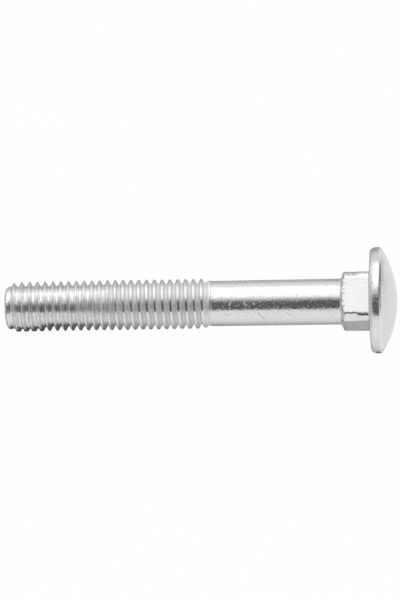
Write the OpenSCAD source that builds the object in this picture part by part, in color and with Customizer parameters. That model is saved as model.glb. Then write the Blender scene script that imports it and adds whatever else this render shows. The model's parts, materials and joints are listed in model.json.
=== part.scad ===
// Carriage bolt with a square neck and a low domed head, lying on a flat surface.
// It is one piece of steel: the head and neck are forged and the thread is rolled.
// It rests on the rim of its head and on its first full thread, the tip towards -X.
// The origin lies on that surface, below the middle of the bolt.

/* [Lengths] */
// Length from the head's bearing face to the tip
bolt_length = 58.3; // [50:0.1:120]
// Length from the tip to the end of the thread's run-out
thread_length = 34; // [20:0.1:45]

/* [Thread] */
// Diameter over the crests
thread_d = 8; // [6.5:0.1:10]
// Distance between crests along the bolt
thread_pitch = 1.25; // [1:0.05:1.5]
// Turns over which the crest rises from the tip
lead_in = 1.3; // [0.6:0.1:1.7]
// Turns over which the thread fades into the shank
run_out = 2; // [1:0.1:3]
// Size of the chamfer round the flat end
tip_chamfer = 0.4; // [0.2:0.05:0.8]

/* [Shank] */
// Diameter of the plain shank, about the thread's pitch diameter
shank_d = 7.25; // [6:0.05:8.5]
// Radius of the hollow fillet between the shank and the neck
neck_fillet = 0.5; // [0.3:0.05:0.8]

/* [Neck] */
// Width across the flats
neck_w = 8.35; // [7.6:0.05:10]
// How far the turned corners stand back from the square's own corners
neck_corner_cut = 0.75; // [0.3:0.05:1.1]
// Length of the flats below the head
neck_length = 4.45; // [3:0.05:6.5]
// Slope of the neck's lower end, in degrees from the bolt's axis
neck_end_slope = 70; // [55:1:80]
// Turn of the flats away from the upright, in degrees
neck_turn = 13.8; // [0:0.1:45]

/* [Head] */
// Diameter of the head
head_d = 16.9; // [13.5:0.1:21]
// Height of the head from its bearing face to the top of the dome
head_height = 4.25; // [3.3:0.05:5.5]
// Height of the rim below the dome
rim_height = 1.6; // [1.2:0.05:2.2]
// Radius of the rim's edge on the bearing side
under_round = 0.45; // [0.2:0.05:0.6]
// Radius of the rim's edge on the dome side
dome_round = 0.4; // [0.2:0.05:0.6]

/* [Hidden] */
$fn = 96;

// 60 degree thread profile. The flat crest is an eighth of the pitch, the root a sixth
flank_angle = 30;
crest_half = thread_pitch / 8 / 2;
root_half = thread_pitch / 6 / 2;
thread_depth = (thread_pitch / 2 - crest_half - root_half) / tan(flank_angle);
crest_r = thread_d / 2;
root_r = crest_r - thread_depth;
tip_r = root_r - tip_chamfer;

// The helix is stepped round the bolt; the step counts are whole numbers. It starts to
// one side, half a step back, so that the flat of a step faces down and not its corner
turn_steps = 32;
half_step = 180 / turn_steps;
profile_points = 4;
start_angle = 90 - half_step;
first_crest = 0.3;
edge_gap = 0.1;
last_step = floor((thread_length - first_crest - thread_pitch / 2 - root_half - edge_gap)
    / thread_pitch * turn_steps);

// The threaded length runs a little way into the shank, a hair below its surface
shank_r = shank_d / 2;
blank_step = 0.03;
blank_r = shank_r - blank_step;
socket_depth = 1;

neck_start = bolt_length - neck_length;
neck_corner_r = neck_w / sqrt(2) - neck_corner_cut;
neck_foot_r = shank_r + neck_fillet;

head_r = head_d / 2;
crown_height = head_height - rim_height;
dome_r = (pow(head_r, 2) + pow(crown_height, 2)) / (2 * crown_height);
dome_centre = head_height - dome_r;

// Turn of the round faces' seam in degrees, so that a meshed rim rests on a flat
seam_turn = 2.3;

// The dome-side edge is a circle that touches both the rim and the dome
edge_r = head_r - dome_round;
edge_z = dome_centre + sqrt(pow(dome_r - dome_round, 2) - pow(edge_r, 2));
edge_touch_r = edge_r * dome_r / (dome_r - dome_round);

// The lying bolt touches the surface with its rim and with the first full crest that
// faces down, this many turns from the start of the thread
rest_turns = 1.75;
rest_crest = first_crest + rest_turns * thread_pitch - crest_half;
rest_run = bolt_length + under_round - rest_crest;
rest_drop = head_r - under_round - crest_r * cos(half_step);
rest_tilt = atan(rest_drop / rest_run) + asin(under_round / norm([rest_run, rest_drop]));
tip_height = (head_r - under_round) * cos(rest_tilt) + under_round
    - (bolt_length + under_round) * sin(rest_tilt);
tip_end_x = -tip_r * sin(rest_tilt);
dome_end_x = (bolt_length + dome_centre) * cos(rest_tilt) + dome_r;

// How far the thread has risen at a step, and how much of it the run-out has left
function lead(i) = min(1, i / (lead_in * turn_steps));
function left(i) = max(0, min(1, (last_step - i) / (run_out * turn_steps)));

// Root and full crest radius at a step: both meet at the shank's size in the run-out
function root_at(i) = blank_r + (root_r - blank_r) * left(i);
function full_crest_at(i) = blank_r + (crest_r - blank_r) * left(i);

// Places of one pitch's profile along the bolt: root, crest, crest, root
function crest_z(i) = first_crest + thread_pitch * i / turn_steps;
function profile_z(i, j) =
    j == 0 ? max(edge_gap, crest_z(i) - thread_pitch / 2 + root_half) :
    j == 1 ? crest_z(i) - crest_half :
    j == 2 ? crest_z(i) + crest_half :
    crest_z(i) + thread_pitch / 2 - root_half;

// The root surface follows the tip's chamfer first, and the crests rise from it
function base_at(i, z) = min(root_at(i), tip_r + z);
function profile_r(i, j) =
    let (base = base_at(i, profile_z(i, j)))
    j == 0 || j == profile_points - 1 ? base : base + (full_crest_at(i) - base) * lead(i);

function step_angle(i) = start_angle + 360 * i / turn_steps;
function ring_point(i, r, z) = [r * cos(step_angle(i)), r * sin(step_angle(i)), z];
function thread_point(i, j) = ring_point(i, profile_r(i, j), profile_z(i, j));

// Index of a helix point. The top edge of a pitch is the bottom edge of the next one,
// and past the last step only that edge goes on, for one more turn
function helix_index(i, j) =
    j == profile_points ? helix_index(i + turn_steps, 0) :
    turn_steps + (i <= last_step ? profile_points * i + j
        : profile_points * (last_step + 1) + i - last_step - 1);
end_ring = helix_index(last_step + turn_steps, 0) + 1;
function end_index(k) = end_ring + k % turn_steps;

function quad(a, b, c, d) = [[a, b, c], [a, c, d]];
function fan(hub, rim) = [for (k = [1 : len(rim) - 1]) [hub, rim[k - 1], rim[k]]];

thread_points = concat(
    [for (k = [0 : turn_steps - 1]) ring_point(k, tip_r, 0)],
    [for (i = [0 : last_step]) for (j = [0 : profile_points - 1]) thread_point(i, j)],
    [for (i = [last_step + 1 : last_step + turn_steps]) thread_point(i, 0)],
    [for (k = [0 : turn_steps - 1])
        ring_point(last_step + k, blank_r, thread_length + socket_depth)]
);

// The start and end lines of the helix each lie along one step, so the chamfer and the
// blank close on to them with a fan of triangles
thread_faces = concat(
    [[for (k = [0 : turn_steps - 1]) k]],
    [for (k = [0 : turn_steps - 2])
        each quad(k, helix_index(k, 0), helix_index(k + 1, 0), k + 1)],
    fan(helix_index(turn_steps - 1, 0), concat(
        [for (j = [profile_points : -1 : 0]) helix_index(0, j)],
        [0, turn_steps - 1])),
    [for (i = [0 : last_step - 1]) for (j = [0 : profile_points - 1])
        each quad(helix_index(i, j), helix_index(i, j + 1),
            helix_index(i + 1, j + 1), helix_index(i + 1, j))],
    fan(helix_index(last_step + 1, 0), concat(
        [for (j = [0 : profile_points]) helix_index(last_step, j)],
        [end_index(0), end_index(1)])),
    [for (k = [1 : turn_steps - 1])
        each quad(helix_index(last_step + k, 0), end_index(k), end_index(k + 1),
            helix_index(last_step + k + 1, 0))],
    [[for (k = [turn_steps - 1 : -1 : 0]) end_index(k)]]
);

// Turns a half section about the bolt's axis
module turned() {
    rotate([0, 0, seam_turn])
        rotate_extrude()
            children();
}

module thread() {
    polyhedron(points = thread_points, faces = thread_faces);
}

module shank() {
    translate([0, 0, thread_length])
        cylinder(r = shank_r, h = bolt_length + rim_height - thread_length);
    translate([0, 0, neck_start - neck_fillet])
        turned()
            difference() {
                square([neck_foot_r, neck_fillet]);
                translate([neck_foot_r, 0])
                    circle(r = neck_fillet);
            }
}

// Square bar turned down at its corners, with a steep cone at its lower end
module neck() {
    cone_rise = (neck_corner_r - neck_foot_r) / tan(neck_end_slope);
    intersection() {
        rotate([0, 0, -neck_turn])
            translate([-neck_w / 2, -neck_w / 2, neck_start])
                cube([neck_w, neck_w, neck_length + rim_height / 2]);
        turned()
            polygon([
                [0, neck_start],
                [neck_foot_r, neck_start],
                [neck_corner_r, neck_start + cone_rise],
                [neck_corner_r, bolt_length + rim_height],
                [0, bolt_length + rim_height]
            ]);
    }
}

// Half section of the head, with its bearing face on the line y = 0
module head_section() {
    square([head_r - under_round, rim_height / 2]);
    translate([0, under_round])
        square([head_r, edge_z - under_round]);
    translate([head_r - under_round, under_round])
        circle(r = under_round);
    translate([edge_r, edge_z])
        circle(r = dome_round);
    intersection() {
        translate([0, dome_centre])
            circle(r = dome_r);
        translate([0, rim_height / 2])
            square([edge_touch_r, head_height]);
    }
}

module head() {
    translate([0, 0, bolt_length])
        turned()
            head_section();
}

// Turns the bolt from its own axis, tip at the bottom, to the way it lies
module at_rest() {
    translate([-(tip_end_x + dome_end_x) / 2, 0, tip_height])
        rotate([0, 90 - rest_tilt, 0])
            children();
}

module bolt() {
    color("silver")
        at_rest()
            union() {
                thread();
                shank();
                neck();
                head();
            }
}

bolt();
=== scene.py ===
"""Looks of a zinc-plated carriage bolt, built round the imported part.

The blank is made first, as a header would forge it: a domed head, a square neck and
a plain round bar. A Geometry Nodes tree then rolls the thread into the bar. The
bolt lies on a pale floor in a light tent and is seen from above.
"""

import json
import logging
import math
from dataclasses import dataclass, field
from enum import Enum
from typing import Union

import bpy
import numpy as np
from mathutils import Matrix, Vector


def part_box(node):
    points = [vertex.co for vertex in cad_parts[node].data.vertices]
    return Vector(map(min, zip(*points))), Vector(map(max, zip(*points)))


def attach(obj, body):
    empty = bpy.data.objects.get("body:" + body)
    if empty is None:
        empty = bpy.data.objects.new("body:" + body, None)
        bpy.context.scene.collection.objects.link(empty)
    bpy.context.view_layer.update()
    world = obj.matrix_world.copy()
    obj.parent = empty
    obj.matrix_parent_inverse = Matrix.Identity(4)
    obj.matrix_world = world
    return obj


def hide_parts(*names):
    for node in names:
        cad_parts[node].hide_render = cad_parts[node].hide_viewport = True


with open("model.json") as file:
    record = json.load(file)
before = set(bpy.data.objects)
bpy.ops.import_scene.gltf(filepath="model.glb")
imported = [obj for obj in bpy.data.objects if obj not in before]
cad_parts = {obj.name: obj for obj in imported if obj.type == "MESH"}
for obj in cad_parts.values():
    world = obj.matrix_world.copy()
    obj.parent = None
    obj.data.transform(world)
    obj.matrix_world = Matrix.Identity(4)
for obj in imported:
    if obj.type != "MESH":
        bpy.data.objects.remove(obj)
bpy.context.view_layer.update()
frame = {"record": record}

log = logging.getLogger("carriage_bolt")

MM = 0.001
NODE = "bolt"
BODY = "root"

QUARTER_TURN = 0.25
TINY = 1e-6

Socket = bpy.types.NodeSocket
Value = Union[float, Socket]
Columns = np.ndarray
Ramp = tuple[float, float]
Ramps = tuple[Ramp, ...]
Inputs = dict[Union[str, int], object]


class Detail(Enum):
    """How many finer layers a noise has."""

    SMOOTH = 1.0
    FINE = 2.0
    CLOUDY = 3.0


class Columned(Enum):
    """How many columns of faces a stretch of the blank has round it."""

    THREAD = 96
    FORGING = 288


# --- Small helpers ---


def columns(count: int) -> Columns:
    """Gives the angles of evenly spaced columns.

    Args:
        count: How many columns there are.

    Returns:
        Their angles, in radians.
    """
    return 2.0 * math.pi * np.arange(count) / count


def quarter(rows: int) -> Columns:
    """Gives the angles of the rows round a quarter circle, past its start."""
    return 0.5 * math.pi * np.arange(1, rows + 1) / rows


def put_in_scene(name: str, data: bpy.types.ID) -> bpy.types.Object:
    """Makes an object of a mesh or a camera and links it to the scene.

    Args:
        name: The object's name.
        data: Its mesh or camera.

    Returns:
        The object.
    """
    made = bpy.data.objects.new(name, data)
    bpy.context.scene.collection.objects.link(made)
    return made


# --- The bolt's own axis ---


@dataclass(frozen=True)
class Axis:
    """The bolt's own axis as it lies: its tip and the way to its head."""

    tip: Vector
    along: Vector

    @classmethod
    def of_record(cls, record: dict) -> "Axis":
        """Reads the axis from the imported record.

        Args:
            record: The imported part's record.

        Returns:
            The axis, from the place of the thread mount, which looks out of the tip.
        """
        mount = next(m for m in record["mounts"] if m["name"] == "thread")
        return cls(Vector(mount["pos_m"]), -Vector(mount["axis"]).normalized())

    def placing(self) -> Matrix:
        """Works out where the bolt lies.

        Returns:
            The matrix that takes the upright bolt, its tip at the origin, to its place.
        """
        side = Vector((0.0, 1.0, 0.0))
        down = side.cross(self.along)
        turned = Matrix((down, side, self.along)).transposed().to_4x4()
        return Matrix.Translation(self.tip) @ turned


# --- Uneven edges ---


@dataclass(frozen=True)
class Ragged:
    """An uneven line that closes on itself, with a fixed seed."""

    seed: int
    size: float
    waves: int
    octaves: int = 3

    def at(self, turns: np.ndarray) -> np.ndarray:
        """Samples the line.

        Args:
            turns: Places along the line, in whole turns.

        Returns:
            How far the line strays at each place.
        """
        dice = np.random.default_rng(self.seed)
        total = np.zeros_like(turns)
        for octave in range(self.octaves):
            for _ in range(2):
                count = self.waves * 2**octave + int(dice.integers(0, 3))
                phase = dice.uniform(0.0, 2.0 * math.pi)
                total += np.sin(2.0 * math.pi * count * turns + phase) / 2**octave
        return self.size * total / 2.0


def smooth_least(a: np.ndarray, b: np.ndarray, reach: np.ndarray) -> np.ndarray:
    """Takes the smaller of two radii and rounds the edge where they cross.

    Args:
        a: The first radius.
        b: The second radius.
        reach: How far apart the two are where the rounding starts.

    Returns:
        The rounded radius.
    """
    blend = np.clip(0.5 + 0.5 * (b - a) / reach, 0.0, 1.0)
    return b + (a - b) * blend - reach * blend * (1.0 - blend)


# --- The blank, part by part. Heights and radii are in millimetres from the tip ---


@dataclass(frozen=True)
class Ring:
    """A closed ring of points round the bolt's axis."""

    height: Columns
    radius: Columns

    @classmethod
    def plain(cls, height: float, radius: float, columned: Columned) -> "Ring":
        """Makes a round, level ring."""
        ones = np.ones(columned.value)
        return cls(height * ones, radius * ones)


@dataclass(frozen=True)
class TipAndBar:
    """The rounded tip and the bar that the thread is rolled into."""

    end_radius: float = 2.25
    root_radius: float = 3.225
    nose: float = 0.72
    dish: float = 0.12
    dish_shares: tuple[float, ...] = (0.35, 0.7, 0.9, 0.97)
    nose_rows: int = 8
    rows_a_pitch: int = 20
    end: float = 34.0

    def rings(self, thread: "ThreadSizes", shank: "Shank") -> list[Ring]:
        """Makes the rings from the tip's end face to the shank.

        Args:
            thread: The thread's sizes.
            shank: The shank that the bar runs into.

        Returns:
            The rings, the tip's first.
        """
        kind = Columned.THREAD
        rings = [
            Ring.plain(self.dish * (1.0 - share**4), self.end_radius * share, kind)
            for share in self.dish_shares
        ]
        width = self.root_radius - self.end_radius
        for turn in (0.0, *quarter(self.nose_rows)):
            height = self.nose * (1.0 - math.cos(turn))
            radius = self.end_radius + width * math.sin(turn)
            rings.append(Ring.plain(height, radius, kind))
        step = thread.pitch / self.rows_a_pitch
        rows = int((self.end - self.nose) / step)
        for k in range(1, rows + 1):
            height = self.nose + k * step
            spread = shank.radius_at(height) - self.root_radius
            radius = self.root_radius + spread * thread.root_rise(height)
            rings.append(Ring.plain(height, radius, kind))
        return rings


@dataclass(frozen=True)
class ThreadSizes:
    """Sizes of the rolled thread."""

    pitch: float = 1.25
    crest_radius_at_tip: float = 4.02
    crest_radius_at_shank: float = 3.95
    first_crest: float = 0.08
    lead_in: float = 1.5
    run_out: float = 1.3
    last_turn: float = 26.5
    crisp_from: float = 4.0
    crisp_to: float = 18.0
    crest_share: tuple[float, float] = (0.05, 0.23)
    root_share: tuple[float, float] = (0.24, 0.10)
    crest_softness: tuple[float, float] = (0.22, 0.04)
    root_softness: tuple[float, float] = (0.22, 0.18)
    lead_in_bend: float = 0.7
    unevenness: float = 0.012
    unevenness_scale: float = 2.3
    shoulder: float = 0.35
    root_rise_turns: float = 1.45
    plain_nose: float = 0.05
    bruised_to: float = 5.2
    bruise: float = 0.34
    bruised_side: tuple[float, float] = (-5.0, 3.9)
    bruise_fill: tuple[float, float] = (0.87, 0.42)
    bruise_softness: float = 0.45

    def root_rise(self, height: float) -> float:
        """Tells how far the root has risen to the shank.

        Args:
            height: Distance from the tip.

        Returns:
            0 along the thread, 1 past its run-out.
        """
        turns = self.last_turn - QUARTER_TURN
        finish = self.first_crest + turns * self.pitch + self.shoulder
        start = finish - self.root_rise_turns * self.pitch
        share = min(1.0, max(0.0, (height - start) / (finish - start)))
        return share * share * (3.0 - 2.0 * share)


@dataclass(frozen=True)
class Shank:
    """The plain bar between the thread and the neck."""

    start: float = 34.0
    radius_at_start: float = 3.61
    radius_at_neck: float = 3.65
    end: float = 53.35
    rows: int = 16

    def radius_at(self, height: float) -> float:
        """Gives the shank's radius.

        Args:
            height: Distance from the tip.

        Returns:
            The radius there, or at the nearer end.
        """
        share = (height - self.start) / (self.end - self.start)
        spread = self.radius_at_neck - self.radius_at_start
        return self.radius_at_start + spread * min(1.0, max(0.0, share))

    def rings(self) -> list[Ring]:
        """Makes the shank's rings.

        Returns:
            The rings, from the thread's end towards the neck.
        """
        rings = []
        for k in range(1, self.rows + 1):
            height = self.start + (self.end - self.start) * k / self.rows
            rings.append(Ring.plain(height, self.radius_at(height), Columned.FORGING))
        return rings


@dataclass(frozen=True)
class SquareNeck:
    """The square neck, with turned corners and sheared edges."""

    width: float = 8.12
    corner_radius: float = 5.04
    corner_step: float = 0.17
    turn: float = 15.6
    start: float = 53.85
    end: float = 58.3
    foot_fillet: float = 0.5
    end_slope: float = 70.0
    head_fillet: float = 0.30
    fine_edge: float = 0.10
    torn_edge: float = 0.30
    row_height: float = 0.11
    fine_rows: tuple[float, float] = (0.5, 0.35)
    fillet_rows: int = 7
    flare_rows: int = 5
    foot_softness: float = 0.06
    step_at: float = 0.56
    shear_apart: float = 0.21
    corner_from: float = 0.3
    shear: Ragged = field(default_factory=lambda: Ragged(seed=11, size=0.035, waves=5))
    foot: Ragged = field(default_factory=lambda: Ragged(seed=23, size=0.12, waves=24))

    def outline(self, height: float, angles: Columns) -> Columns:
        """Gives the square's radius round the axis.

        Args:
            height: Distance from the tip.
            angles: The columns' angles, in radians.

        Returns:
            The radius at each angle.
        """
        square = 0.5 * math.pi
        facing = math.pi - math.radians(self.turn)
        off = (angles - facing + 0.5 * square) % square - 0.5 * square
        flat = 0.5 * self.width / np.cos(off)
        share = (height - self.start) / (self.end - self.start)
        stray = self.shear.at(share + np.sign(off) * self.shear_apart)
        stray = stray * (np.abs(off) > self.corner_from)
        step = float(share > self.step_at)
        corner = self.corner_radius + self.corner_step * step + stray
        torn = self.fine_edge + (self.torn_edge - self.fine_edge) * step
        return smooth_least(flat, corner, np.full_like(angles, torn))

    def rings(self, angles: Columns, shank_radius: float) -> list[Ring]:
        """Makes the neck's rings, its hollow foot first.

        Args:
            angles: The columns' angles, in radians.
            shank_radius: Radius of the bar below.

        Returns:
            The rings, from the shank to the head's bearing face.
        """
        rings = []
        for turn in quarter(self.fillet_rows):
            height = self.start - self.foot_fillet * (1.0 - math.sin(turn))
            radius = shank_radius + self.foot_fillet * (1.0 - math.cos(turn))
            rings.append(Ring.plain(height, radius, Columned.FORGING))
        foot_radius = shank_radius + self.foot_fillet
        rise = math.tan(math.radians(self.end_slope))
        uneven = self.foot.at(angles / (2.0 * math.pi))
        reach = np.full_like(angles, self.foot_softness)
        fine_to, fine = self.fine_rows
        height = self.start
        while height < self.end - self.head_fillet:
            height += self.row_height * (fine if height < self.start + fine_to else 1.0)
            cone = foot_radius + rise * np.maximum(0.0, height - self.start - uneven)
            edge = smooth_least(cone, self.outline(height, angles), reach)
            rings.append(Ring(np.full_like(angles, height), edge))
        top = rings[-1].radius
        for turn in quarter(self.flare_rows):
            level = self.end - self.head_fillet * (1.0 - math.sin(turn))
            flare = self.head_fillet * (1.0 - math.cos(turn))
            rings.append(Ring(np.full_like(angles, level), top + flare))
        return rings


@dataclass(frozen=True)
class DomedHead:
    """The low domed head with its rounded rim."""

    bearing: float = 58.3
    diameter: float = 16.9
    height: float = 4.18
    rim: float = 1.6
    under_round: float = 0.6
    under_reach: float = 1.15
    dome_round: float = 0.4
    bearing_shares: tuple[float, ...] = (0.12, 0.4, 0.7, 1.0)
    round_rows: int = 7
    rim_rows: int = 3
    dome_rows: int = 30
    eccentricity: float = 0.13

    def rings(self, neck: Columns) -> list[Ring]:
        """Makes the head's rings.

        Args:
            neck: The neck's outline where it meets the bearing face.

        Returns:
            The rings, from the bearing face to just short of the dome's top.
        """
        radius = 0.5 * self.diameter
        ones = np.ones(Columned.FORGING.value)
        flat = radius - self.under_round
        aside = 1.0 + self.eccentricity / radius * np.sin(columns(len(ones)))
        rings = [
            Ring(self.bearing * ones, neck + (flat * aside - neck) * share)
            for share in self.bearing_shares
        ]
        for turn in quarter(self.round_rows):
            level = self.bearing + self.under_reach * (1.0 - math.cos(turn))
            edge = flat + self.under_round * math.sin(turn)
            rings.append(Ring(level * ones, edge * aside))
        crown = self.height - self.rim
        dome = (radius**2 + crown**2) / (2.0 * crown)
        centre = self.bearing + self.height - dome
        edge = radius - self.dome_round
        lean = math.asin(edge / (dome - self.dome_round))
        edge_level = centre + (dome - self.dome_round) * math.cos(lean)
        low = self.bearing + self.under_reach
        for k in range(1, self.rim_rows):
            share = k / self.rim_rows
            level = low + (edge_level - low) * share
            rings.append(Ring(level * ones, radius * aside))
        for k in range(self.round_rows + 1):
            turn = (0.5 * math.pi - lean) * k / self.round_rows
            level = edge_level + self.dome_round * math.sin(turn)
            out = edge + self.dome_round * math.cos(turn)
            rings.append(Ring(level * ones, out * aside))
        for k in range(1, self.dome_rows):
            turn = lean * (1.0 - k / self.dome_rows)
            level = centre + dome * math.cos(turn)
            rings.append(Ring(level * ones, dome * math.sin(turn) * aside))
        return rings

    def top(self) -> float:
        """Gives the height of the dome's top."""
        return self.bearing + self.height


# --- The skin over the rings ---


class Skin:
    """Stitches rings into one closed mesh."""

    def __init__(self, height: float) -> None:
        """Starts the skin with a pole on the axis.

        Args:
            height: The pole's height.
        """
        self.points: list[tuple[float, float, float]] = [(0.0, 0.0, height)]
        self.faces: list[tuple[int, ...]] = []
        self.last: list[int] = [0]

    def add(self, ring: Ring) -> None:
        """Adds a ring and stitches it to the one before.

        Args:
            ring: The next ring towards the head.
        """
        count = len(ring.radius)
        angles = columns(count)
        first = len(self.points)
        x, y = ring.radius * np.cos(angles), ring.radius * np.sin(angles)
        self.points.extend(zip(x, y, ring.height))
        now = list(range(first, first + count))
        before = len(self.last)
        if before == 1:
            for j in range(count):
                self.faces.append((self.last[0], now[(j + 1) % count], now[j]))
        elif before == count:
            for j in range(count):
                k = (j + 1) % count
                self.faces.append((self.last[j], self.last[k], now[k], now[j]))
        else:
            self._widen(now)
        self.last = now

    def _widen(self, now: list[int]) -> None:
        """Stitches a ring to one with three times its columns.

        Args:
            now: The wider ring's points.
        """
        old = self.last
        for j, here in enumerate(old):
            there = old[(j + 1) % len(old)]
            a, b, c = now[3 * j], now[3 * j + 1], now[3 * j + 2]
            d = now[(3 * j + 3) % len(now)]
            self.faces += [(here, b, a), (here, c, b), (here, there, c), (there, d, c)]

    def close(self, height: float) -> None:
        """Puts the last pole on the axis.

        Args:
            height: The pole's height.
        """
        pole = len(self.points)
        self.points.append((0.0, 0.0, height))
        count = len(self.last)
        for j in range(count):
            self.faces.append((self.last[j], self.last[(j + 1) % count], pole))

    def mesh(self, name: str) -> bpy.types.Mesh:
        """Makes the mesh, in metres.

        Args:
            name: The mesh's name.

        Returns:
            The closed mesh.
        """
        made = bpy.data.meshes.new(name)
        made.from_pydata([tuple(MM * c for c in p) for p in self.points], [], self.faces)
        made.shade_smooth()
        made.update()
        return made


# --- Node trees ---


class Graph:
    """Adds nodes to a tree and links them, so that a formula reads in order."""

    def __init__(self, tree: bpy.types.NodeTree) -> None:
        """Takes the tree that the nodes go into."""
        self.tree = tree

    @classmethod
    def of(cls, owner: Union[bpy.types.Material, bpy.types.World]) -> "Graph":
        """Starts the node tree of a material or a world.

        Args:
            owner: The material or world.

        Returns:
            The graph of its tree, with no nodes in it.
        """
        owner.use_nodes = True
        owner.node_tree.nodes.clear()
        return cls(owner.node_tree)

    def node(self, kind: str, inputs: Inputs, **settings: object) -> bpy.types.Node:
        """Adds a node.

        Args:
            kind: The node's type.
            inputs: What is linked or set to its inputs, by name or number.
            **settings: Its properties.

        Returns:
            The node.
        """
        made = self.tree.nodes.new(kind)
        for name, value in settings.items():
            setattr(made, name, value)
        for name, value in inputs.items():
            if isinstance(value, Socket):
                self.tree.links.new(value, made.inputs[name])
            else:
                made.inputs[name].default_value = value
        return made

    def split(self, vector: Socket) -> list[Socket]:
        """Splits a vector into its three parts."""
        return list(self.node("ShaderNodeSeparateXYZ", {0: vector}).outputs)

    def math(self, operation: str, *values: Value, clamp: bool = False) -> Socket:
        """Adds a math node.

        Args:
            operation: The operation's name.
            *values: Its inputs.
            clamp: Whether the result is kept from 0 to 1.

        Returns:
            The result.
        """
        inputs = dict(enumerate(values))
        made = self.node("ShaderNodeMath", inputs, operation=operation, use_clamp=clamp)
        return made.outputs[0]

    def add(self, a: Value, b: Value) -> Socket:
        """Adds two values."""
        return self.math("ADD", a, b)

    def sub(self, a: Value, b: Value) -> Socket:
        """Takes one value from another."""
        return self.math("SUBTRACT", a, b)

    def mul(self, a: Value, b: Value) -> Socket:
        """Multiplies two values."""
        return self.math("MULTIPLY", a, b)

    def tint(self, tone: Value, cover: Value, gain: Value) -> Socket:
        """Makes a tone lighter by a share where a patch covers it, or darker."""
        return self.mul(tone, self.add(1.0, self.mul(cover, gain)))

    def ramp(self, value: Value, low: float, high: float) -> Socket:
        """Rises smoothly from 0 to 1.

        Args:
            value: What is measured.
            low: Where the rise is 0, which may be the larger of the two.
            high: Where it is 1.

        Returns:
            The share risen.
        """
        inputs = {"Value": value, "From Min": low, "From Max": high}
        made = self.node("ShaderNodeMapRange", inputs, interpolation_type="SMOOTHSTEP")
        return made.outputs["Result"]

    def cover(self, *measured: tuple[Value, Ramps]) -> Value:
        """Multiplies smooth rises.

        Args:
            *measured: Values, each with where its rises are 0 and 1.

        Returns:
            1 where all have risen, 0 where one hasn't begun.
        """
        share: Value = 1.0
        for value, ramps in measured:
            for low, high in ramps:
                share = self.mul(share, self.ramp(value, low, high))
        return share


# --- The thread, rolled into the blank by Geometry Nodes ---


@dataclass(frozen=True)
class Winding:
    """Where a point is on the winding thread, in metres and in turns."""

    x: Value
    y: Value
    z: Value
    radius: Value
    run: Value
    off: Value
    crest_turn: Value


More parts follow.
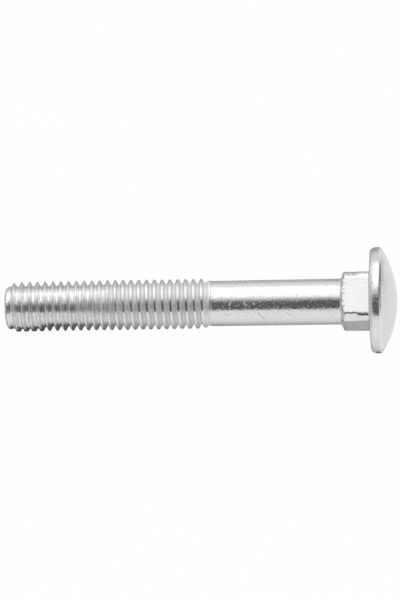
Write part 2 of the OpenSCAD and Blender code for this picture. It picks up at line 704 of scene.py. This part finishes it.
class ThreadRolling:
    """A tree that raises a helical ridge on a bar along Z."""

    SHAPES = ("Crest Share", "Root Share", "Crest Softness", "Root Softness")

    def __init__(self, sizes: ThreadSizes, finish: bpy.types.Material) -> None:
        """Starts the tree and finds each point's place on the thread.

        Args:
            sizes: The thread's sizes.
            finish: The material that the tree sets.
        """
        self.sizes = sizes
        self.finish = finish
        tree = bpy.data.node_groups.new("rolled_thread", "GeometryNodeTree")
        face = tree.interface
        face.new_socket("Geometry", in_out="INPUT", socket_type="NodeSocketGeometry")
        for name in self.inputs():
            face.new_socket(name, in_out="INPUT", socket_type="NodeSocketFloat")
        face.new_socket("Geometry", in_out="OUTPUT", socket_type="NodeSocketGeometry")
        self.g = Graph(tree)
        self.given = self.g.node("NodeGroupInput", {}).outputs
        self.at = self._winding()

    def inputs(self) -> dict[str, float]:
        """Names the tree's inputs.

        Returns:
            Each input's name and value, lengths in metres and the rest in turns or shares.
        """
        s = self.sizes
        made = {
            "Pitch": MM * s.pitch,
            "Crest Radius at Tip": MM * s.crest_radius_at_tip,
            "Crest Radius at Shank": MM * s.crest_radius_at_shank,
            "First Crest": MM * s.first_crest,
            "Last Turn": s.last_turn,
            "Lead In": s.lead_in,
            "Run Out": s.run_out,
            "Crisp From": s.crisp_from,
            "Crisp To": s.crisp_to,
            "Unevenness": MM * s.unevenness,
            "Bruised To": s.bruised_to,
            "Bruise": s.bruise,
        }
        shapes = (s.crest_share, s.root_share, s.crest_softness, s.root_softness)
        for name, (worn, crisp) in zip(self.SHAPES, shapes):
            made[f"Worn {name}"], made[name] = worn, crisp
        return made

    def _winding(self) -> Winding:
        """Finds each point's place on the thread.

        Returns:
            The place. Its run is in turns from the first crest, which lies a
            quarter turn round, and its off is 0 on a crest and 1 in a root.
        """
        g, given = self.g, self.given
        x, y, z = g.split(g.node("GeometryNodeInputPosition", {}).outputs[0])
        radius = g.math("SQRT", g.add(g.mul(x, x), g.mul(y, y)))
        turn = g.sub(g.mul(g.math("ARCTAN2", y, x), 0.5 / math.pi), QUARTER_TURN)
        height = g.math("DIVIDE", g.sub(z, given["First Crest"]), given["Pitch"])
        run = g.sub(height, turn)
        whole = g.math("ROUND", run)
        off = g.mul(g.math("ABSOLUTE", g.sub(run, whole)), 2.0)
        return Winding(x, y, z, radius, run, off, g.add(whole, turn))

    def _ridge(self) -> Value:
        """Shapes the 60 degree ridge, worn round by the tip and crisp by the shank.

        Returns:
            The ridge's height, from 0 in the root to 1 on the crest.
        """
        g, given, at, sizes = self.g, self.given, self.at, self.sizes
        crisp = g.math(
            "DIVIDE",
            g.sub(at.crest_turn, given["Crisp From"]),
            g.sub(given["Crisp To"], given["Crisp From"]),
            clamp=True,
        )
        crest, root, crest_softness, root_softness = (
            g.add(
                given[f"Worn {name}"],
                g.mul(crisp, g.sub(given[name], given[f"Worn {name}"])),
            )
            for name in self.SHAPES
        )

        # The first crests are bruised broad on the -Y side
        slope, start = sizes.bruised_side
        by_tip = g.math("SUBTRACT", given["Bruised To"], at.crest_turn, clamp=True)
        aside = g.math("DIVIDE", at.y, g.math("MAXIMUM", at.radius, TINY))
        one_side = g.math("SUBTRACT", g.mul(aside, slope), start, clamp=True)
        bruised = g.mul(by_tip, one_side)
        crest = g.add(crest, g.mul(bruised, given["Bruise"]))
        root = g.mul(root, g.sub(1.0, bruised))

        flank = g.sub(g.sub(1.0, crest), root)
        height = g.math("DIVIDE", g.sub(g.sub(1.0, root), at.off), flank)
        height = g.math("SMOOTH_MIN", height, 1.0, crest_softness)
        height = g.math("SMOOTH_MAX", height, 0.0, root_softness)
        gain, least = sizes.bruise_fill
        filled = g.sub(g.mul(bruised, gain), least)
        return g.math("SMOOTH_MAX", height, filled, sizes.bruise_softness)

    def _grown(self) -> Value:
        """Tells how much farther from the axis each point moves.

        Returns:
            The new radius over the old one.
        """
        g, given, at, sizes = self.g, self.given, self.at, self.sizes
        begun = g.math("DIVIDE", at.crest_turn, given["Lead In"], clamp=True)
        left = g.sub(given["Last Turn"], at.crest_turn)
        left = g.math("DIVIDE", left, given["Run Out"], clamp=True)
        fade = g.mul(g.math("POWER", begun, sizes.lead_in_bend), left)

        share = g.math("DIVIDE", at.crest_turn, given["Last Turn"], clamp=True)
        spread = g.sub(given["Crest Radius at Shank"], given["Crest Radius at Tip"])
        crest = g.add(given["Crest Radius at Tip"], g.mul(spread, share))
        waves = {"W": at.crest_turn, "Scale": sizes.unevenness_scale}
        noise = g.node("ShaderNodeTexNoise", waves, noise_dimensions="1D")
        stray = g.mul(g.sub(noise.outputs[0], 0.5), given["Unevenness"])
        full = g.sub(g.add(crest, stray), at.radius)
        rise = g.mul(g.mul(full, self._ridge()), fade)
        return g.math("DIVIDE", g.add(at.radius, rise), g.math("MAXIMUM", at.radius, TINY))

    def tree(self) -> bpy.types.NodeTree:
        """Finishes the tree.

        Returns:
            The Geometry Nodes tree.
        """
        g, given, at = self.g, self.given, self.at
        grown = self._grown()
        past_nose = g.math("GREATER_THAN", at.z, MM * self.sizes.plain_nose)
        before_shank = g.math("LESS_THAN", at.run, g.add(given["Last Turn"], 1.0))
        there = {0: g.mul(at.x, grown), 1: g.mul(at.y, grown), 2: at.z}
        moves = {
            "Geometry": given["Geometry"],
            "Selection": g.mul(past_nose, before_shank),
            "Position": g.node("ShaderNodeCombineXYZ", there).outputs[0],
        }
        moved = g.node("GeometryNodeSetPosition", moves).outputs[0]
        real = g.node("GeometryNodeRealizeInstances", {"Geometry": moved}).outputs[0]
        dress = {"Geometry": real, "Material": self.finish}
        g.node("NodeGroupOutput", {0: g.node("GeometryNodeSetMaterial", dress).outputs[0]})
        return g.tree

    def roll(self, blank: bpy.types.Object) -> bpy.types.Mesh:
        """Rolls the thread into a blank.

        Args:
            blank: The upright blank, its tip at the origin.

        Returns:
            A plain mesh of the threaded bolt.
        """
        modifier = blank.modifiers.new("thread", "NODES")
        modifier.node_group = self.tree()
        sockets = {
            item.name: item.identifier
            for item in modifier.node_group.interface.items_tree
            if item.in_out == "INPUT"
        }
        for name, value in self.inputs().items():
            modifier[sockets[name]] = value
        blank.update_tag()
        graph = bpy.context.evaluated_depsgraph_get()
        rolled = bpy.data.meshes.new_from_object(blank.evaluated_get(graph))
        blank.modifiers.remove(modifier)
        return rolled


# --- Finishes. Places and sizes are in millimetres ---


@dataclass(frozen=True)
class Place:
    """Where a point is: along the bolt, to its side and off its axis."""

    g: Graph
    along: Value
    side: Value
    off: Value


@dataclass(frozen=True)
class Patch:
    """A patch with soft edges. Each pair says where its cover is 0 and where 1."""

    along: Ramps = ()
    side: Ramps = ()
    off: Ramps = ()
    gain: float = 1.0

    def cover(self, at: Place) -> Value:
        """Gives 1 well inside the patch and 0 outside it."""
        return at.g.cover((at.along, self.along), (at.side, self.side), (at.off, self.off))

    def weight(self, at: Place) -> Value:
        """Gives the patch's gain inside it and 0 outside it."""
        return at.g.mul(self.cover(at), self.gain)


@dataclass(frozen=True)
class Scratch:
    """A fine scratch or a small pit on the shank, as seen from above."""

    start: tuple[float, float]
    end: tuple[float, float]
    width: float = 0.05
    depth: float = 0.01
    darkness: float = 0.45
    core: float = 0.3
    tail: float = 0.3
    longest_tail: float = 0.4

    def cover(self, at: Place) -> Value:
        """Covers the mark.

        Args:
            at: The place.

        Returns:
            1 on the mark, 0 off it.
        """
        g = at.g
        start, end = Vector(self.start), Vector(self.end)
        way = (end - start).normalized()
        length = (end - start).length
        da, db = g.sub(at.along, start.x), g.sub(at.side, start.y)
        on = g.add(g.mul(da, way.x), g.mul(db, way.y))
        off = g.math("ABSOLUTE", g.sub(g.mul(da, way.y), g.mul(db, way.x)))
        tail = min(self.longest_tail, self.tail * length)
        line = ((self.width, self.core * self.width),)
        return g.cover((off, line), (on, ((0.0, 0.5 * tail), (length, length - tail))))


@dataclass(frozen=True)
class ZincPlate:
    """Bright zinc plating over drawn steel."""

    axis: Axis
    colour: tuple[float, float, float] = (0.80, 0.80, 0.805)
    cloud_size: float = 3.0
    cloud_tone: tuple[float, float] = (0.96, 0.08)
    roughness: float = 0.10

    # Frosted spots, orange peel and grain
    frost: float = 0.35
    frost_size: float = 0.26
    frost_spots: Ramp = (0.47, 0.66)
    frost_past: Ramp = (32.8, 33.6)
    frost_on_thread: float = 0.4
    peel_size: float = 0.42
    peel_height: float = 0.022
    grain_size: float = 0.20
    grain_height: float = 0.006

    # The neck: drawn lines, a speckled foot, the face below with painted light and the one
    # above
    neck: Patch = Patch(along=((53.75, 53.95), (58.3, 58.1)))
    neck_calm: float = 0.85
    draw_size: float = 0.14
    draw_height: float = 0.006
    draw_stretch: float = 0.07
    foot: Patch = Patch(along=((53.7, 53.9), (54.5, 54.1)), gain=-0.45)
    speck_size: float = 0.30
    specks: Ramp = (0.50, 0.60)
    lower_face: Patch = Patch(side=((-3.05, -3.2),), gain=0.9)
    lower_face_painted_light: float = 0.09
    upper_face: Patch = Patch(side=((-2.1, -1.9),), gain=0.30)

    # The thread: marks of the dies, dull roots lifted with painted light, dashes of painted
    # dark reflection on the crests, a scuffed line that also lifts the band with painted
    # light
    thread_end: Ramp = (33.4, 32.8)
    die_size: float = 0.18
    die_height: float = 0.055
    die_stretch: float = 0.06
    die_worn: Ramp = (24.0, 14.0)
    die_share: tuple[float, float] = (0.8, 1.4)
    groove: Patch = Patch(along=((33.4, 32.6), (4.0, 26.0)), off=((3.92, 3.72),))
    root_painted_light: float = 0.11
    groove_roughness: float = 0.40
    crest: Patch = Patch(along=((33.4, 32.8), (12.0, 22.0)), off=((3.78, 3.86),))
    # Painted dark reflection: dashes on the crests and at one ring, darkened only inside the
    # band
    crest_dash_painted_dark: float = 0.28
    dash_at: float = 32.92
    dash_width: Ramp = (0.14, 0.05)
    ring_dash_painted_dark: float = 0.5
    band: Patch = Patch(side=((-1.3, -1.0), (0.8, 0.4)), gain=-1.0)
    ring_at: float = 33.1
    ring_width: Ramp = (0.12, 0.02)
    ring_depth: float = 0.04
    # Rougher, with random streaks, and lighter by painted light over the dark band on top
    # near the tip
    scuff_and_band_light: Patch = Patch(along=((24.0, 12.0),), side=((-1.4, -0.9), (1.0, 0.6)), gain=1.8)
    band_painted_light: float = 0.12
    scuff_roughness: float = 0.09

    # The rim's rough strip
    rim_strip: Patch = Patch(
        along=((59.15, 58.85),), side=((0.0, 1.5),), off=((7.4, 7.8),), gain=0.24
    )

    # Painted light and shade by place along the bolt and to its side: a painted dark
    # reflection line at the dome's edge, a painted highlight beside it and painted shade in
    # its lee, painted shade on the rim's top, a painted highlight on the thread's upper side
    # by the tip and painted shade on the shank's band by the neck
    painted_light_and_shade: tuple[Patch, ...] = (
        Patch(((59.90, 60.0), (60.24, 60.10)), ((-1.8, -0.8), (6.4, 5.2)), gain=-0.62),
        Patch(((59.95, 60.05), (60.25, 60.15)), ((-2.4, -3.2), (-7.6, -6.8)), gain=0.12),
        Patch(((60.0, 60.05), (61.0, 60.1)), ((2.0, 3.4), (7.6, 6.2)), gain=-0.28),
        Patch(((59.9, 59.8), (58.2, 58.3)), ((5.8, 6.8),), gain=-0.10),
        Patch(((20.0, 11.0),), ((1.4, 2.0),), gain=0.09),
        Patch(((42.0, 50.0), (53.8, 53.6)), ((-1.7, -1.3), (0.9, 0.5)), gain=-0.12),
    )
    scratches: tuple[Scratch, ...] = (
        Scratch((40.4, -1.45), (41.6, -2.70), 0.065, darkness=0.6),
        Scratch((35.95, -0.30), (36.25, 0.15), 0.16, 0.05, 0.0),
        Scratch((38.3, 0.10), (38.8, -0.50), 0.18, 0.06, 0.0),
        Scratch((39.75, 0.05), (40.05, -0.25), 0.14, 0.035, 0.0),
        Scratch((35.2, -1.55), (35.75, -2.0), 0.06),
        Scratch((35.7, -2.0), (36.1, -1.60), darkness=0.25),
        Scratch((45.0, -1.55), (46.6, -2.6), 0.035, darkness=0.3),
    )

    def material(self) -> bpy.types.Material:
        """Builds the finish.

        Returns:
            The material.
        """
        made = bpy.data.materials.new("zinc_plated_steel")
        g = Graph.of(made)
        plating = Plating(g, self)
        looks = {
            "Base Color": plating.colour(),
            "Metallic": 1.0,
            "Roughness": plating.roughness(),
            "Normal": plating.normal(),
        }
        metal = g.node("ShaderNodeBsdfPrincipled", looks)
        g.node("ShaderNodeOutputMaterial", {"Surface": metal.outputs[0]})
        return made


class Plating:
    """The nodes that give the plating's normal, colour and roughness."""

    def __init__(self, g: Graph, zinc: ZincPlate) -> None:
        """Measures the place on the bolt and makes what several parts read.

        Args:
            g: The material's graph.
            zinc: The finish.
        """
        self.g = g
        self.zinc = zinc
        self.own = self._mapped(
            g.node("ShaderNodeTexCoord", {}).outputs["Object"],
            vector_type="TEXTURE",
            Location=zinc.axis.tip,
            Rotation=(0.0, -math.asin(zinc.axis.along.z), 0.0),
        )
        along, side, up = (g.mul(part, 1.0 / MM) for part in g.split(self.own))
        off = g.math("SQRT", g.add(g.mul(side, side), g.mul(up, up)))
        self.at = Place(g, along, side, off)
        self.above = g.math("GREATER_THAN", up, 0.0)
        self.on_neck = zinc.neck.cover(self.at)
        self.calm = g.sub(1.0, g.mul(self.on_neck, zinc.neck_calm))
        self.groove = zinc.groove.cover(self.at)
        self.crest = zinc.crest.cover(self.at)
        self.scuff_and_band_light = zinc.scuff_and_band_light.cover(self.at)
        drawn = self._mapped(self.own, Scale=(zinc.draw_stretch, 1.0, 1.0))
        self.lines = g.mul(self._noise(drawn, zinc.draw_size, Detail.FINE), self.on_neck)
        round_it = self._mapped(self.own, Scale=(1.0, zinc.die_stretch, zinc.die_stretch))
        self.streaks = self._noise(round_it, zinc.die_size, Detail.SMOOTH)
        self.marks = [(mark, mark.cover(self.at)) for mark in zinc.scratches]

    def _mapped(
        self, place: Value, vector_type: str = "POINT", **settings: object
    ) -> Socket:
        """Adds a mapping node.

        Args:
            place: The vector that it turns, moves or stretches.
            vector_type: Its kind.
            **settings: Its inputs.

        Returns:
            The mapped vector.
        """
        inputs = {"Vector": place, **settings}
        return self.g.node("ShaderNodeMapping", inputs, vector_type=vector_type).outputs[0]

    def _noise(self, place: Value, size: float, detail: Detail) -> Socket:
        """Adds a noise texture.

        Args:
            place: The place that it reads.
            size: Size of its features, in millimetres.
            detail: Its finer layers.

        Returns:
            The noise, about 0.5 on average.
        """
        inputs = {"Vector": place, "Scale": 1.0 / (MM * size), "Detail": detail.value}
        return self.g.node("ShaderNodeTexNoise", inputs).outputs[0]

    def _line_at(self, along: float, width: Ramp) -> Socket:
        """Marks a fine line right round the bolt."""
        g = self.g
        return g.ramp(g.math("ABSOLUTE", g.sub(self.at.along, along)), *width)

    def _marked(self, amount: str) -> Socket:
        """Adds up the marks on the shank's upper side.

        Args:
            amount: Which of a mark's fields is added up.

        Returns:
            The sum.
        """
        g = self.g
        total: Value = 0.0
        for mark, cover in self.marks:
            total = g.add(total, g.mul(cover, getattr(mark, amount)))
        return g.mul(total, self.above)

    def normal(self) -> Socket:
        """Bumps the surface.

        Returns:
            The bumped normal.
        """
        g, zinc = self.g, self.zinc
        least, more = zinc.die_share
        worn = g.ramp(self.at.along, *zinc.die_worn)
        rolled = g.mul(self.streaks, g.ramp(self.at.along, *zinc.thread_end))
        rolled = g.mul(rolled, g.add(least, g.mul(worn, more)))
        peel = g.mul(self._noise(self.own, zinc.peel_size, Detail.FINE), self.calm)
        grain = g.mul(self._noise(self.own, zinc.grain_size, Detail.SMOOTH), self.calm)
        ring = g.mul(self._line_at(zinc.ring_at, zinc.ring_width), zinc.ring_depth)
        cut = g.math("MAXIMUM", self._marked("depth"), ring)
        bump: Inputs = {"Strength": 1.0}
        for height, depth in (
            (peel, zinc.peel_height),
            (grain, zinc.grain_height),
            (self.lines, zinc.draw_height),
            (rolled, zinc.die_height),
            (g.sub(1.0, cut), 1.0),
        ):
            bump |= {"Distance": MM * depth, "Height": height}
            bump["Normal"] = g.node("ShaderNodeBump", bump).outputs[0]
        return bump["Normal"]

    def _tone(self) -> Socket:
        """Gives the plating's tone: its own clouds and marks, with painted light and shade
        part by part.

        Returns:
            The tone, about 1 on average.
        """
        g, zinc, at = self.g, self.zinc, self.at
        base, spread = zinc.cloud_tone
        cloud = self._noise(self.own, zinc.cloud_size, Detail.CLOUDY)
        tone = g.add(base, g.mul(cloud, spread))
        tone = g.tint(tone, self._marked("darkness"), -1.0)
        # The roots are lighter by 11%: painted light against their shade
        tone = g.tint(tone, self.groove, zinc.root_painted_light)
        # Painted highlights, painted shade and painted dark reflections, patch by patch
        for patch in zinc.painted_light_and_shade:
            tone = g.tint(tone, patch.cover(at), patch.gain)

        # Painted dark reflection: dashes on the crests and at one ring, inside the band on
        # top where the dark gap overhead is mirrored
        dash = g.mul(self._line_at(zinc.dash_at, zinc.dash_width), zinc.ring_dash_painted_dark)
        dashes = g.add(g.mul(self.crest, zinc.crest_dash_painted_dark), dash)
        tone = g.tint(tone, g.mul(dashes, zinc.band.cover(at)), zinc.band.gain)
        # Random streaks, and painted light that lifts the dark reflected band by 12%
        uneven = g.mul(g.sub(self.streaks, 0.5), zinc.scuff_and_band_light.gain)
        tone = g.tint(tone, self.scuff_and_band_light, g.add(uneven, zinc.band_painted_light))

        specks = self._noise(self.own, zinc.speck_size, Detail.SMOOTH)
        specks = g.ramp(specks, *zinc.specks)
        tone = g.tint(tone, g.mul(zinc.foot.cover(at), specks), zinc.foot.gain)
        # Drawn lines on the neck's faces, and painted light that lifts the lower face by 9%
        for face, lift in (
            (zinc.lower_face, zinc.lower_face_painted_light),
            (zinc.upper_face, 0.0),
        ):
            lined = g.add(g.mul(g.sub(self.lines, 0.5), face.gain), lift)
            tone = g.tint(tone, g.mul(self.on_neck, face.cover(at)), lined)
        return tone

    def colour(self) -> Socket:
        """Gives the plating's colour at each place.

        Returns:
            The colour.
        """
        inputs = {"Factor": 1.0, 6: (*self.zinc.colour, 1.0), 7: self._tone()}
        mix = self.g.node("ShaderNodeMix", inputs, data_type="RGBA", blend_type="MULTIPLY")
        return mix.outputs[2]

    def roughness(self) -> Socket:
        """Gives the plating's roughness at each place.

        Returns:
            The roughness.
        """
        g, zinc = self.g, self.zinc
        spots = self._noise(self.own, zinc.frost_size, Detail.FINE)
        spots = g.ramp(spots, *zinc.frost_spots)
        more = g.mul(g.ramp(self.at.along, *zinc.frost_past), 1.0 - zinc.frost_on_thread)
        spots = g.mul(spots, g.add(zinc.frost_on_thread, more))
        spots = g.mul(spots, g.sub(1.0, self.crest))
        rough = g.add(zinc.roughness, g.mul(g.mul(spots, zinc.frost), self.calm))
        rough = g.add(rough, g.mul(self.groove, zinc.groove_roughness))
        rough = g.add(rough, zinc.rim_strip.weight(self.at))
        return g.add(rough, g.mul(self.scuff_and_band_light, zinc.scuff_roughness))


# --- Floor, light and camera ---


@dataclass(frozen=True)
class PaleFloor:
    """A plain pale floor that shows as white and keeps a faint shadow.

    In mirrored rays it glows with painted white light away from the bolt and carries a
    painted shadow near it.
    Patches lie along X and to the side in Y, and `off` is the distance from X.
    """

    colour: float = 0.82
    size_m: float = 3.0
    whiteness_seen: float = 0.985
    beside: Patch = Patch(off=((3.0, 32.0),), gain=0.63)
    far_gain: float = 0.14
    far_by_tip: Patch = Patch(along=((0.0, -20.0),), gain=0.16)
    ahead: Patch = Patch(along=((30.8, 32.3),), gain=0.74)
    beyond: Patch = Patch(along=((40.0, 60.0),), side=((-5.0, 10.0),), gain=-0.3)
    shade: float = 0.76
    by_bar: Patch = Patch(
        along=((10.0, -28.0), (-32.6, -30.6)), side=((-19.0, -8.0), (1.0, -1.0))
    )
    touching: Patch = Patch(along=((26.5, 28.0),), side=((-18.0, -12.0), (1.0, -1.0)))
    head_lee: Patch = Patch(along=((18.0, 24.0),), off=((34.0, 12.0),), gain=0.40)
    by_head: Patch = Patch(along=((30.5, 29.0),))

    def _painted_glow(self, at: Place) -> Value:
        """Tells how strongly the floor glows with painted light in mirrored rays.

        Args:
            at: The place on the floor.

        Returns:
            The painted glow's share.
        """
        g = at.g
        is_far = g.math("GREATER_THAN", at.side, 0.0)
        more = g.add(self.far_gain, self.far_by_tip.weight(at))
        gain = g.add(self.beside.gain, g.mul(is_far, more))
        beside = g.mul(self.beside.cover(at), gain)
        white = g.math("MAXIMUM", beside, self.ahead.weight(at))
        return g.tint(white, self.beyond.cover(at), self.beyond.gain)

    def _shade(self, at: Place) -> Value:
        """Gives the bolt's painted shadow on the floor in mirrored rays.

        Args:
            at: The place on the floor.

        Returns:
            The shade, from 0 to 1.
        """
        g = at.g
        lee = g.mul(self.head_lee.weight(at), g.math("GREATER_THAN", at.side, 0.0))
        head = g.math("MAXIMUM", self.touching.cover(at), lee)
        head = g.mul(head, self.by_head.cover(at))
        return g.mul(g.math("MAXIMUM", self.by_bar.cover(at), head), self.shade)

    def material(self) -> bpy.types.Material:
        """Builds the floor's finish.

        Returns:
            The material.
        """
        made = bpy.data.materials.new("pale_floor")
        g = Graph.of(made)
        path = g.node("ShaderNodeLightPath", {}).outputs
        mirrored = g.math("MAXIMUM", path["Is Glossy Ray"], path["Is Transmission Ray"])
        own = g.split(g.node("ShaderNodeTexCoord", {}).outputs["Object"])
        x, y = (g.mul(part, 1.0 / MM) for part in own[:2])
        at = Place(g, x, y, g.math("ABSOLUTE", y))
        matt = g.node("ShaderNodeBsdfDiffuse", {"Color": (*(self.colour,) * 3, 1.0)})
        white = g.node("ShaderNodeEmission", {})
        seen = g.mul(path["Is Camera Ray"], self.whiteness_seen)
        # In mirrored rays the floor glows with painted light by place and is dimmed by a
        # painted shadow near the bolt
        share = g.add(seen, g.mul(mirrored, self._painted_glow(at)))
        mix = {0: share, 1: matt.outputs[0], 2: white.outputs[0]}
        shaded = g.mul(mirrored, self._shade(at))
        dim = {0: shaded, 1: g.node("ShaderNodeMixShader", mix).outputs[0]}
        dark = g.node("ShaderNodeMixShader", dim)
        g.node("ShaderNodeOutputMaterial", {"Surface": dark.outputs[0]})
        return made

    def build(self) -> bpy.types.Object:
        """Lays the floor.

        Returns:
            The floor, which isn't part of the object.
        """
        half = 0.5 * self.size_m
        mesh = bpy.data.meshes.new("floor")
        corners = [(-half, -half, 0), (half, -half, 0), (half, half, 0), (-half, half, 0)]
        mesh.from_pydata(corners, [], [(0, 1, 2, 3)])
        mesh.materials.append(self.material())
        floor = put_in_scene("floor", mesh)
        return floor


@dataclass(frozen=True)
class LightTent:
    """The world: a white tent with a dark gap overhead, where the camera looks in.

    Angles are in degrees from straight up, the positive ones towards +Y. Each
    strength is given twice, for the middle and for the ends of the tent. Ends, the
    doorway and the dim side are places in the direction's X, Y and Z.
    """

    near_wall: tuple[float, float] = (1.37, 0.72)
    far_wall: tuple[float, float] = (0.90, 0.85)
    gap: tuple[float, float] = (0.115, 0.80)
    near_edge: Ramp = (0.0, 44.0)
    far_edge: Ramp = (-32.0, -39.0)
    slant: float = 30.0
    left_end: Ramp = (-0.55, -0.95)
    right_end: Ramp = (0.62, 0.90)
    doorway: Ramps = ((0.60, 0.85), (-0.05, 0.20), (0.50, 0.30))
    doorway_dark: float = -0.85
    dim_side: Ramp = (-0.50, -0.85)
    dim_side_dark: float = -0.30

    def build(self) -> None:
        """Lights the scene with the tent."""
        world = bpy.data.worlds.new("light_tent")
        bpy.context.scene.world = world
        g = Graph.of(world)
        x, y, z = g.split(g.node("ShaderNodeTexCoord", {}).outputs["Generated"])
        lean = g.mul(g.math("ARCTAN2", y, z), math.degrees(1.0))
        slanted = g.sub(lean, g.mul(g.math("MAXIMUM", x, 0.0), self.slant))
        near = g.ramp(slanted, *self.near_edge)
        far = g.ramp(lean, *self.far_edge)
        ends = g.add(g.ramp(x, *self.left_end), g.ramp(x, *self.right_end))
        lights = []
        for near_wall, far_wall, gap in zip(self.near_wall, self.far_wall, self.gap):
            over = g.add(g.mul(near, near_wall - gap), gap)
            lights.append(g.add(over, g.mul(far, far_wall - gap)))
        light = g.add(g.mul(lights[0], g.sub(1.0, ends)), g.mul(lights[1], ends))
        in_doorway = g.cover(*((c, (edge,)) for c, edge in zip((x, y, z), self.doorway)))
        light = g.tint(light, in_doorway, self.doorway_dark)
        light = g.tint(light, g.ramp(x, *self.dim_side), self.dim_side_dark)
        seen = g.node("ShaderNodeLightPath", {}).outputs["Is Camera Ray"]
        light = g.add(g.mul(light, g.sub(1.0, seen)), seen)
        glow = g.node("ShaderNodeBackground", {"Color": (1.0,) * 4, "Strength": light})
        g.node("ShaderNodeOutputWorld", {"Surface": glow.outputs[0]})


@dataclass(frozen=True)
class Viewpoint:
    """The camera, which looks straight down on the lying bolt."""

    lens: float = 250.0
    sensor: float = 36.0
    field: float = 95.28
    roll: float = 0.9
    aim: tuple[float, float] = (-0.10, 0.60)
    clip_end_m: float = 10.0

    def build(self) -> bpy.types.Object:
        """Sets up the camera.

        Returns:
            The camera.
        """
        lens = bpy.data.cameras.new("camera")
        lens.lens = self.lens
        lens.sensor_fit = "VERTICAL"
        lens.sensor_height = self.sensor
        lens.clip_end = self.clip_end_m
        camera = put_in_scene("camera", lens)
        roll = math.radians(self.roll)
        back = Vector((0.0, 0.0, 1.0))
        right = Vector((math.cos(roll), -math.sin(roll), 0.0))
        up = back.cross(right)
        low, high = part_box(NODE)
        middle = 0.5 * (low + high)
        middle.x += MM * self.aim[0]
        middle.y += MM * self.aim[1]
        distance = MM * self.field * self.lens / self.sensor
        turned = Matrix((right, up, back)).transposed().to_4x4()
        camera.matrix_world = Matrix.Translation(middle + back * distance) @ turned
        bpy.context.scene.camera = camera
        return camera


# --- The whole bolt ---


@dataclass
class CarriageBolt:
    """The carriage bolt: one forged and rolled piece of steel."""

    axis: Axis
    tip: TipAndBar = field(default_factory=TipAndBar)
    thread: ThreadSizes = field(default_factory=ThreadSizes)
    shank: Shank = field(default_factory=Shank)
    neck: SquareNeck = field(default_factory=SquareNeck)
    head: DomedHead = field(default_factory=DomedHead)

    def blank(self) -> bpy.types.Object:
        """Forges the blank, upright with its tip at the origin.

        Returns:
            The blank.
        """
        bar = self.tip.rings(self.thread, self.shank) + self.shank.rings()
        angles = columns(Columned.FORGING.value)
        neck = self.neck.rings(angles, self.shank.radius_at_neck)
        skin = Skin(self.tip.dish)
        for ring in bar + neck + self.head.rings(neck[-1].radius):
            skin.add(ring)
        skin.close(self.head.top())
        return put_in_scene("blank", skin.mesh("blank"))

    def build(self, finish: bpy.types.Material) -> bpy.types.Object:
        """Makes the bolt and lays it in its place.

        Args:
            finish: The plating.

        Returns:
            The finished bolt.
        """
        blank = self.blank()
        mesh = ThreadRolling(self.thread, finish).roll(blank)
        bpy.data.objects.remove(blank)
        mesh.transform(self.axis.placing())
        mesh.name = "carriage_bolt"
        bolt = put_in_scene("carriage_bolt", mesh)
        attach(bolt, BODY)
        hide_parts(NODE)
        log.info("%s: %d points, %d faces", bolt.name, len(mesh.vertices), len(mesh.polygons))
        return bolt


def main() -> None:
    """Builds the scene."""
    logging.basicConfig(level=logging.INFO, format="%(name)s: %(message)s")
    bpy.context.scene.view_settings.view_transform = "Standard"
    axis = Axis.of_record(frame["record"])
    Viewpoint().build()
    LightTent().build()
    PaleFloor().build()
    CarriageBolt(axis).build(ZincPlate(axis).material())


if __name__ == "__main__":
    main()
